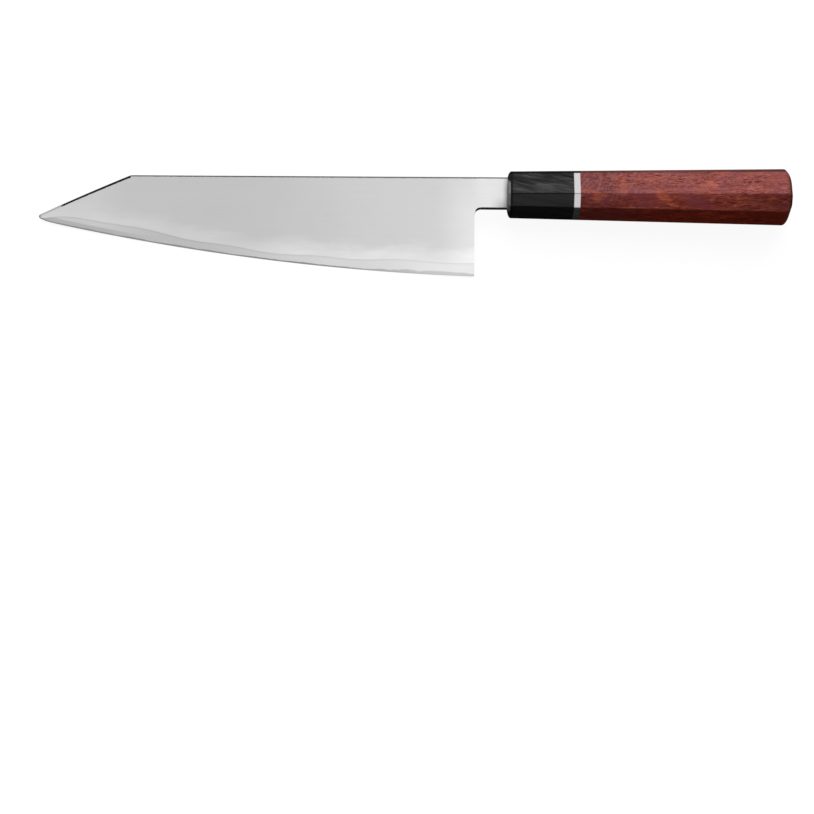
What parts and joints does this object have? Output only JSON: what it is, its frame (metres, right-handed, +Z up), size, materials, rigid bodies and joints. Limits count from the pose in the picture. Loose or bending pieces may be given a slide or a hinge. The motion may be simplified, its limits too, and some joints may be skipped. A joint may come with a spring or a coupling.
{
  "type": "gyuto knife",
  "caption": "Clip-pointed chef's knife: a tall layered-steel blade, ground to a fine edge, whose tang is bedded in a faceted hardwood handle with a dark ferrule and a metal spacer.",
  "frame": {"origin": "on the table, under the middle of the knife's bounding box, with the knife lying at rest", "axes": "+X from the point to the butt, +Y from the edge towards the spine, +Z up from the table through the blade's left face; the knife lies rolled 12.8 degrees about X onto its edge and pitched 1.4 degrees down towards the point, as it comes to rest"},
  "size_m": [0.362, 0.0532, 0.0256],
  "materials": {
    "core_steel": "satin, hard carbon steel, brighter at the sharpened edge",
    "cladding_steel": "satin, soft steel with fine polishing lines",
    "black_horn": "satin, black buffalo horn with faint grey streaks",
    "white_metal": "polished nickel silver",
    "red_hardwood": "satin, oiled red hardwood with orange and purple figure",
    "dowel_wood": "matte, plain pale wood",
    "bedding_resin": "satin, cured epoxy resin"
  },
  "bodies": {
    "root": {"blade_core": "core_steel", "cladding_left": "cladding_steel", "cladding_right": "cladding_steel", "ferrule": "black_horn", "spacer_ring": "white_metal", "handle_body": "red_hardwood", "handle_dowel": "dowel_wood", "tang_bedding": "bedding_resin"}
  },
  "joints": []
}
